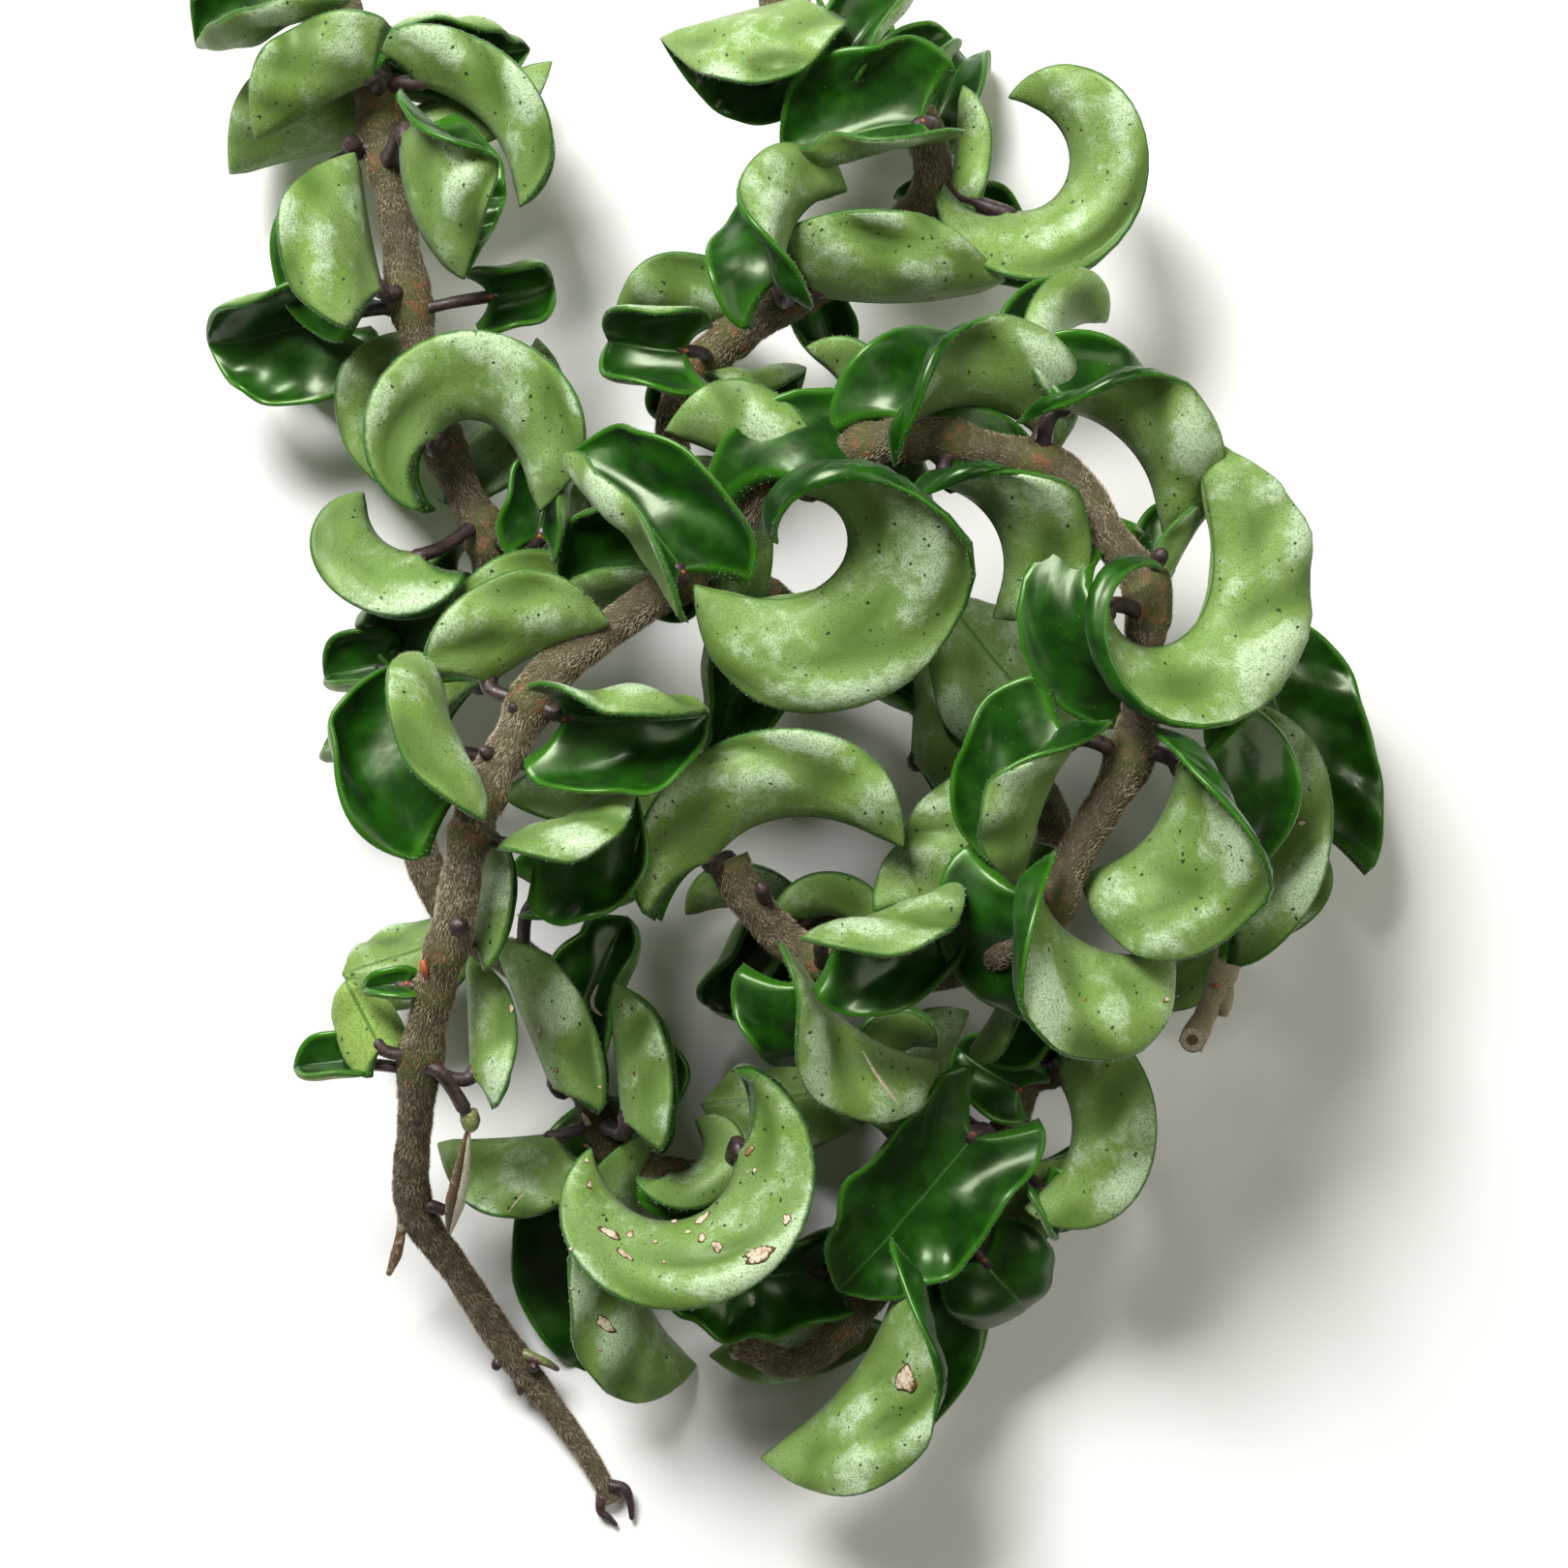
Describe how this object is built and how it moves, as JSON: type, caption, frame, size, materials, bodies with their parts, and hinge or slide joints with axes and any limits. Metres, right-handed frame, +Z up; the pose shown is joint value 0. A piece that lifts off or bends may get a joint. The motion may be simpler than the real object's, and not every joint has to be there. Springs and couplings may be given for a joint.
{
  "type": "hindu rope plant",
  "caption": "Cut trailing stems of a waxy climbing plant with folded, curled and rolled leaves, lying in a loose tangled heap.",
  "frame": {"origin": "middle of the footprint on the surface the plant lies on", "axes": "+Z up from that surface, +Y towards the cut ends of the two long stems, +X to the right of the picture"},
  "size_m": [0.1772, 0.2368, 0.0725],
  "materials": {
    "foliage": "waxy satin, pale grey-green outside, dark glossy green inside",
    "stem": "woody brown-olive bark with short beige hairs"
  },
  "bodies": {
    "root": {"vine_left": "foliage", "vine_right": "foliage", "vine_front": "foliage", "vine_lower": "foliage"}
  },
  "joints": []
}
